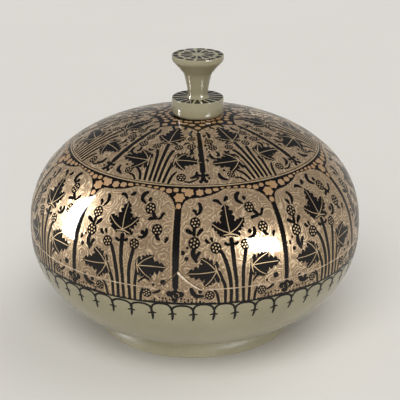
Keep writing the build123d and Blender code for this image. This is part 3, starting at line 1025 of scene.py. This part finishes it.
for panel, (bar, next_bar) in enumerate(zip(crown_bars, crown_bars[1:] + [crown_bars[0] + 360])):
    chance = random.Random(80 + panel)
    half_degrees = (next_bar - bar) / 2
    middle = back_to_front(body_radius * math.radians(bar + half_degrees)) / body_radius
    bouquet(fan(middle), chance, **crown)
    ray = fan(middle + math.radians(half_degrees))
    foot, head = crown_foot - crown_arc, crown_head - crown_arc
    ray.stroke("black", [(0, head), (0, (head + foot) / 2), (0, foot)], [2.0, 2.4, 2.8])
    for side in (-1, 1):
        ray.stroke("pale", [(1.7 * side, head - 4), (2.1 * side, foot + 2)], [0.3, 0.4])
        for down in np.arange(3 - head, -foot - 8, 3.0):
            x, y = side * (3.5 + chance.uniform(-0.5, 0.6)), -down + chance.uniform(-0.5, 0.5)
            ray.stroke("black", [(x, y), (x + chance.uniform(-0.6, 0.6), y - 1.5)], [1.0, 0.7])
    for x, y, radius in crown_blots:
        ray.loosely((x, y + foot), chance, 0.25).disc("black", x, y + foot, radius, 9)
    # The arch between two bars, with the narrow lattice ring above it.
    spans = np.linspace(-half_degrees, half_degrees, 27)
    rise = crown_head + (crown_arch - crown_head) * np.cos(spans / half_degrees * math.pi / 2) ** 0.6
    around = body_radius * (middle + np.radians(spans))
    sheet.lay("black", [*zip(around, rise), *[(x, ring_top) for x in around[::-1]]])
    for degrees, from_pole, width, height in crown_cells:
        angle = math.radians(degrees)
        lattice_cell(ray, from_pole * math.sin(angle), -from_pole * math.cos(angle), width, height, chance)
print("crown panels drawn,", len(sheet.faces), "shapes so far")

# %% Lines that run all the way round
seam_line = 0.12            # the paint stops this far from the seam
worn_edge = 0.12            # width of the pale edge along the seam
key_highlight_width = 0.55             # and of the painted highlight round the key's flanks
ring_ends = np.linspace(-half_round, half_round, 280)
for paint_name, along, thick in (
        ("black", band_line - 0.2, 0.8), ("pale", band_line + 0.55, 0.65), ("black", band_line + 1.1, 0.35),
        ("black", border_arc, 1.3), ("seam edge", 0.0, 2 * (seam_line + worn_edge))):
    low, high = along - thick / 2, along + thick / 2
    for a, b in zip(ring_ends, ring_ends[1:]):
        sheet.lay(paint_name, [(a, low), (b, low), (b, high), (a, high)])
print("drawing has", len(sheet.faces), "shapes and", len(sheet.points), "points")

# %% [markdown]
# ### From drawing to paint
# The sheet is cut once: the lid's part ends at the seam and round the key, and the bowl's part
# takes the key. A constrained Delaunay triangulation tells which shapes cover each triangle.
# Pale gold lies over lattice gold, which lies over black, and bare triangles show the ground.

# %% Cut the sheet along the seam and the key
grid_gap = 3.0              # a loose grid of points keeps every triangle small enough to bend


def key_on_sheet(grow, foot):
    """The key's outline on the sheet, because the prism cuts the globe straight on."""
    corners = []
    for x, z in key_outline(grow, foot):
        radius, _ = globe_point(turn_at(seam_height + z))
        corners.append((body_radius * (key_azimuth + math.asin(x / radius)),
                        np.interp(seam_height + z, outline_height, outline_arc)))
    return corners


def strip(low, high):
    """A band right round the sheet."""
    edges = np.linspace(-half_round, half_round, 187)
    return [(x, low) for x in edges] + [(x, high) for x in reversed(edges)]


sheet.lay("lid region", strip(seam_line, ring_top))
sheet.lay("bowl region", strip(border_arc - 0.6, -seam_line))
sheet.lay("key region", key_on_sheet(-seam_line, 2.0))
# The key's pale edge is a painted highlight, wider on its right flank than its left and most at the tip, so
# the middle lies to the left.
key_middle = key_on_sheet(-seam_line - 0.5 * key_highlight_width, 2.0)
sheet.lay("key middle", [(x - 0.5 - 0.08 * y, y - 0.15) for x, y in key_middle])
sheet.lay("notch region", key_on_sheet(key_gap + seam_line, 0.5))
for row in np.arange(border_arc, ring_top, grid_gap):
    for column in np.arange(-half_round + grid_gap, half_round - 1, grid_gap):
        sheet.points.append((column, row + 0.4 * math.sin(column)))
print("sheet to cut:", round(2 * half_round), "mm round and", round(ring_top - border_arc), "mm up")

# %% Triangulate, and sort the triangles by body and paint
same_spot = 1e-4            # points this close are one


def triangulate(drawn, kind):
    """Cuts a sheet's shapes into triangles: their points and faces, and the shapes that cover each."""
    corners = [Vector(point) for point in drawn.points]
    points, _, faces, _, _, sources = delaunay_2d_cdt(corners, [], drawn.faces, kind, same_spot)
    return points, [tuple(face) for face in faces], sources


everywhere, inside_shapes = 0, 1        # the kinds of triangulation
sheet_points, sheet_faces, sources = triangulate(sheet, everywhere)
print("sheet cut into", len(sheet_faces), "triangles")


def body_and_paint(names):
    """Which body a triangle is on and which paint shows there, or None where nothing is painted."""
    if "key region" in names:
        body = "base"
        if "key middle" not in names and "bowl region" not in names:
            return body, "edge"
    elif "lid region" in names and "notch region" not in names:
        body = "lid"
    elif "bowl region" in names:
        body = "base"
    else:
        return None
    if "seam edge" in names and "key middle" not in names:
        return body, "edge"
    for paint_name in ("pale", "lattice", "black"):
        if paint_name in names:
            return body, paint_name
    return None


films = {}
for face, source in zip(sheet_faces, sources):
    film = body_and_paint({sheet.paints[i] for i in source})
    if film:
        films.setdefault(film, []).append(face)

# %% Thicken the triangles into closed films, and wrap them
film_root = -0.25           # films reach into the lacquer, so nothing floats
# The worn edges carry both the seam's worn gold and the painted highlight round the key.
film_kinds = {"black": ("black_leaves", 0.05), "lattice": ("lattice_cells", 0.06),
              "pale": ("pale_gold_lines", 0.065), "edge": ("worn_edges", 0.065)}
at_back = 1e-3              # a point this close to the sheet's end meets its twin from the other end


def slab(points, faces, top):
    """A closed slab over flat triangles, left open only where the sheet meets itself at the back."""
    used = sorted({i for face in faces for i in face})
    order = {old: new for new, old in enumerate(used)}
    count = len(used)
    corners = [(*points[i], z) for z in (top, film_root) for i in used]
    faces = [tuple(order[i] for i in face) for face in faces]
    edges = {edge for face in faces for edge in zip(face, face[1:] + face[:1])}
    sides = [(a, a + count, b + count, b) for a, b in edges if (b, a) not in edges
             and not all(abs(abs(corners[i][0]) - half_round) < at_back for i in (a, b))]
    under = [tuple(i + count for i in reversed(face)) for face in faces]
    return mesh_of("slab", corners, faces + under + sides)


for (body, paint_name), faces in sorted(films.items()):
    name, top = film_kinds[paint_name]
    mesh = wrap_on_globe(slab(sheet_points, faces, top), finish[paint_name])
    follow_globe(mesh)
    add_piece(f"{body}_{name}", mesh, body, shell_slot[body])

# %% [markdown]
# ## The scalloped edge
# Fifty-four scallops hang below the border line, with a small drop where two of them meet. One
# scallop and one drop are drawn, and Geometry Nodes set them round the box, each a little off.

# %% The repeat tree


def repeat_tree():
    """Sets flat copies of a shape side by side round the box, each turned and scaled a little."""
    tree, given = new_tree("repeat round the box", {"Count": "Int", "Pitch": "Float", "Start": "Float",
                                                    "Along": "Float", "Turn": "Float", "Seed": "Int"})
    start = add(tree, "ShaderNodeCombineXYZ", {"X": given["Start"], "Y": given["Along"]})
    gap = add(tree, "ShaderNodeCombineXYZ", {"X": given["Pitch"]})
    line = add(tree, "GeometryNodeMeshLine",
               {"Count": given["Count"], "Start Location": start, "Offset": gap})
    back = add(tree, "ShaderNodeMath", {0: given["Turn"], 1: -1.0}, operation="MULTIPLY")
    lean = add(tree, "FunctionNodeRandomValue", {2: back, 3: given["Turn"], "Seed": given["Seed"]})
    spin = add(tree, "ShaderNodeCombineXYZ", {"Z": lean.outputs[1]})
    size = add(tree, "FunctionNodeRandomValue", {2: 0.94, 3: 1.06, "Seed": given["Seed"]})
    placed = add(tree, "GeometryNodeInstanceOnPoints", {"Points": line, "Instance": given["Geometry"],
                                                        "Rotation": spin, "Scale": size.outputs[1]})
    return end_tree(tree, given, placed)


repeat = repeat_tree()
print("tree:", repeat.name)

# %% Draw one scallop and one drop, and set them round the box
scallops = 54
scallop_pitch = 2 * half_round / scallops
first_scallop = math.radians(-90.6)
scallop_top, scallop_foot = border_arc - 0.9, border_arc - 4.2
half_scallop, scallop_sag = scallop_pitch / 2, scallop_foot - scallop_top


def film_of(drawn, top):
    """A closed slab, in millimetres, of what is drawn on a small sheet."""
    points, faces, _ = triangulate(drawn, inside_shapes)
    return slab(points, faces, top)


scallop, drop = Sheet(), Sheet()
hang = [(half_scallop * math.sin(a), scallop_top + scallop_sag * (1 - math.cos(a)) ** 1.2)
        for a in np.linspace(-math.pi / 2, math.pi / 2, 9)]
Brush(scallop).stroke("black", hang, [1.3, 1.05, 1.0, 1.05, 1.3], 0.9)
Brush(drop).stroke("black", [(0.0, 0.9), (0.2, -2.2), (0.1, -4.4), (-0.3, -6.6)], [1.0, 1.25, 1.35, 0.7], 0.9)
Brush(drop).stroke("black", [(-2.1, -2.7), (0.0, -2.1), (2.2, -2.3)], [0.6, 1.2, 0.6], 0.9)
for name, drawn, top, start, along, turn, seed in (
        ("scallop_edge", scallop, 0.045, half_scallop, 0.0, 0.0, 3),
        ("scallop_drops", drop, 0.055, 0.0, scallop_foot, 0.10, 5)):
    flat = run_tree(film_of(drawn, top), repeat, finish["black"], count=scallops, pitch=scallop_pitch,
                    start=body_radius * first_scallop + start - half_round, along=along, turn=turn, seed=seed)
    mesh = wrap_on_globe(flat, finish["black"])
    follow_globe(mesh)
    add_piece(name, mesh, "base", shell_slot["base"])

# %% [markdown]
# ## The knob
# The knob is turned in two pieces, a puck and a waisted spool, and painted cream. Black wedges
# radiate on the puck's flat top, and petals with a ring of dashes decorate the spool's disc.

# %% Turn the collar and the spool
top_round, base_round, disc_round = 0.35, 2.4, 0.4
disc_side = 1.9             # the disc's upright edge, below which it curls in to the crease
disc_top = spool_top - paint_room
knob_sides = 192
# The spool's waist: radius, and height above the collar.
waist = [(5.9, 0.0), (5.3, 2.8), (7.1, 11.8), (9.0, 14.9), (12.1, spool_top - 4.4 - collar_top)]


def rounded(x, z, radius, start_degrees, end_degrees):
    """Points on a quarter round about a centre."""
    return [(x + radius * math.cos(a), z + radius * math.sin(a))
            for a in np.radians(np.linspace(start_degrees, end_degrees, 8))]


waist_at, _, waist_stops = smooth_line([(r, collar_top + z) for r, z in waist], 0.5)
collar_section = [(0.0, collar_base),
                  *rounded(collar_radius - base_round, collar_base + base_round, base_round, -90, 0),
                  *rounded(collar_radius - top_round, collar_top - top_round, top_round, 0, 90),
                  (0.0, collar_top)]
spool_section = [(0.0, collar_top), *waist_at(waist_stops).T.tolist(),
                 (disc_radius - 0.45, spool_top - 3.4), (disc_radius - 0.1, spool_top - 2.6),
                 (disc_radius, spool_top - disc_side),
                 *rounded(disc_radius - disc_round, disc_top - disc_round, disc_round, 0, 90),
                 (0.0, disc_top)]
for name, section, lacquer, node in (("cream_collar", collar_section, "cream", "knob_collar"),
                                     ("cream_spool", spool_section, "satin cream", "knob_spool")):
    mesh = on_knob_axis(turn_piece(section, finish[lacquer], knob_sides))
    soften(mesh, knob_edge)
    add_piece(name, mesh, "lid", "turned_wood", node)

# %% [markdown]
# The wedges and petals repeat round the axis, so one of each is drawn and a second small tree
# sets them in a circle. They are films too, laid on the flat tops.

# %% The circle tree


def circle_tree():
    """Sets copies of a flat film round the axis at a height, the first at a given angle."""
    tree, given = new_tree("repeat round the axis", {"Count": "Int", "First": "Float", "Height": "Float",
                                                     "Seed": "Int"})
    middle = add(tree, "ShaderNodeCombineXYZ", {"Z": given["Height"]})
    points = add(tree, "GeometryNodePoints", {"Count": given["Count"], "Position": middle})
    index = add(tree, "GeometryNodeInputIndex")
    share = add(tree, "ShaderNodeMath", {0: index, 1: given["Count"]}, operation="DIVIDE")
    angle = add(tree, "ShaderNodeMath", {0: share, 1: 2 * math.pi, 2: given["First"]},
                operation="MULTIPLY_ADD")
    stray = add(tree, "FunctionNodeRandomValue", {2: -0.03, 3: 0.03, "Seed": given["Seed"]}).outputs[1]
    turn = add(tree, "ShaderNodeMath", {0: angle, 1: stray}, operation="ADD")
    spin = add(tree, "ShaderNodeCombineXYZ", {"Z": turn})
    placed = add(tree, "GeometryNodeInstanceOnPoints",
                 {"Points": points, "Instance": given["Geometry"], "Rotation": spin})
    return end_tree(tree, given, placed)


circle = circle_tree()
print("tree:", circle.name)

# %% Draw and place the knob's painting
# Each shape is even on both sides of a ray, so half of its outline is given: out from the axis, and across.
for name, half, count, first, height, seed in (
        ("collar_wedges", [(6.0, 0.45), (13.0, 1.7), (13.2, 0.85)], 18, -90.5, collar_top, 1),
        ("disc_petals", [(3.0, 0.15), (5.0, 0.75), (7.5, 1.3), (8.6, 1.1), (9.0, 0.5)],
         13, -82.0, disc_top, 2),
        ("disc_dashes", [(10.4, 0.0), (10.5, 1.7), (10.9, 2.1), (12.5, 2.3), (12.9, 1.9), (13.1, 0.0)],
         13, -83.5, disc_top, 3)):
    drawn = Sheet()
    drawn.lay("black", [(x, -y) for x, y in half] + [(x, y) for x, y in reversed(half) if y])
    unit = film_of(drawn, 0.05)
    unit.transform(Matrix.Scale(MM, 4))
    mesh = on_knob_axis(run_tree(unit, circle, finish["black"], count=count, first=math.radians(first),
                                 height=height * MM, seed=seed))
    soften(mesh, knob_edge)
    add_piece(name, mesh, "lid", "turned_wood")

# %% [markdown]
# ## The plain pieces
# The foot, the hoop, the dowel and its backing keep their CAD shapes and only take a finish.

# %% Finish the CAD pieces
# The foot ring's paler cream is painted light, against the shade that the bowl casts on it.
for node, paint_name in (("foot_ring", "worn cream with painted light"), ("locating_hoop", "inside"),
                         ("knob_dowel", "wood"), ("dowel_backing", "wood")):
    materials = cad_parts[node].data.materials
    materials.clear()
    materials.append(finish[paint_name])
    print(node, "is finished in", finish[paint_name].name)
bpy.data.objects.remove(side_guide)

# %% [markdown]
# ## Stage, light and camera
# A pale floor, pale surroundings that darken upwards, two soft lamps, and two window-like cards
# that only gloss sees. The windows give the lacquer its highlights without lighting the paint.

# %% Floor
floor_half = 40.0           # metres, so that its far edge is the skyline

corners = [(x * floor_half, y * floor_half, 0) for x, y in ((-1, -1), (1, -1), (1, 1), (-1, 1))]
floor_mesh = mesh_of("floor", corners, [range(4)])
put("floor", floor_mesh)
floor = Finish("pale_floor")
floor.colours("#d6d3cc", (floor.clouds(300.0), "#dcd9d2"))
floor.inputs["Roughness"].default_value = 0.9
floor.inputs["Specular IOR Level"].default_value = 0.0      # so that the cards leave no shine on it
floor_mesh.materials.append(floor.material)
print("floor", 2 * floor_half, "m across")

# %% World
sky_rise = 0.35             # the surroundings stop darkening at this share of straight up

world = bpy.data.worlds.new("studio")
scene.world = world
world.use_nodes = True
sky = world.node_tree
# It starts in the floor's own tone at the skyline, so that no edge shows in the gloss.
direction = add(sky, "ShaderNodeTexCoord").outputs["Generated"]
upward = add(sky, "ShaderNodeSeparateXYZ", {0: direction}).outputs["Z"]
share = add(sky, "ShaderNodeMapRange", {0: upward, 2: sky_rise})
tone = add(sky, "ShaderNodeMix", {0: share, 6: paint("#dddad3"), 7: paint("#88898c")}, data_type="RGBA")
sky.links.new(tone.outputs[2], sky.nodes["Background"].inputs["Color"])
print("surroundings darken up to", round(math.degrees(math.asin(sky_rise))), "degrees above the skyline")

# %% Lamps and windows


def toward(azimuth, elevation=0.0):
    """The direction at an azimuth and an elevation in degrees."""
    a, e = math.radians(azimuth), math.radians(elevation)
    return Vector((math.cos(a) * math.cos(e), math.sin(a) * math.cos(e), math.sin(e)))


def lamp(name, azimuth, elevation, spread_degrees, strength):
    """A soft lamp as far off as the sun. Only paint sees it, and gloss does not."""
    data = bpy.data.lights.new(name, "SUN")
    data.angle, data.energy = math.radians(spread_degrees), strength
    item = put(name, data)
    item.rotation_euler = (-toward(azimuth, elevation)).to_track_quat("-Z", "Y").to_euler()
    item.visible_glossy = False


def window(name, azimuth, corners, distance=1200, strength=52):
    """A bright upright card that only gloss sees, with corners (across, height) in millimetres."""
    way, across = toward(azimuth), toward(azimuth + 90)
    mesh = mesh_of(name, [(way * distance + across * x + Vector((0, 0, z))) * MM for x, z in corners],
                   [range(len(corners))])
    card = put(name, mesh)
    glow = Finish(name)
    glow.inputs["Base Color"].default_value = paint("#000000")
    glow.inputs["Emission Color"].default_value = paint("#fbfcff")
    glow.inputs["Emission Strength"].default_value = strength
    mesh.materials.append(glow.material)
    card.visible_camera = card.visible_diffuse = card.visible_shadow = card.visible_transmission = False
    print(name, "at", distance, "mm")


lamp("key_light", -100, 48, 50, 2.25)
lamp("fill_light", 20, 55, 60, 0.85)
window("left_window", 173, [(20, 2), (278, 20), (243, 330), (122, 860), (-10, 1090), (-90, 740)])
window("right_window", -43,
       [(-262, 240), (180, 78), (190, 350), (150, 430), (9, 515), (-175, 600), (-252, 590)])

# %% Camera
target_height = 71.2 * MM
view_distance = 7 * body_radius * MM
view_elevation = 21.13
focal_share = 2.87          # focal length as a share of the sensor's width
aim_right, aim_down = math.radians(0.2545), math.radians(0.2795)

camera_data = bpy.data.cameras.new("camera")
camera_data.sensor_width = 36.0
camera_data.lens = camera_data.sensor_width * focal_share
camera = put("camera", camera_data)
scene.camera = camera
way = toward(-90, view_elevation)
camera.location = Vector((0, 0, target_height)) + way * view_distance
straight = (-way).to_track_quat("-Z", "Y").to_matrix().to_4x4()
aim = Matrix.Rotation(-aim_right, 4, "Y") @ Matrix.Rotation(-aim_down, 4, "X")
camera.rotation_euler = (straight @ aim).to_euler()
print("camera", round(view_distance, 3), "m away, with a lens of", round(camera_data.lens, 1), "mm")
scene.view_settings.view_transform = "Standard"
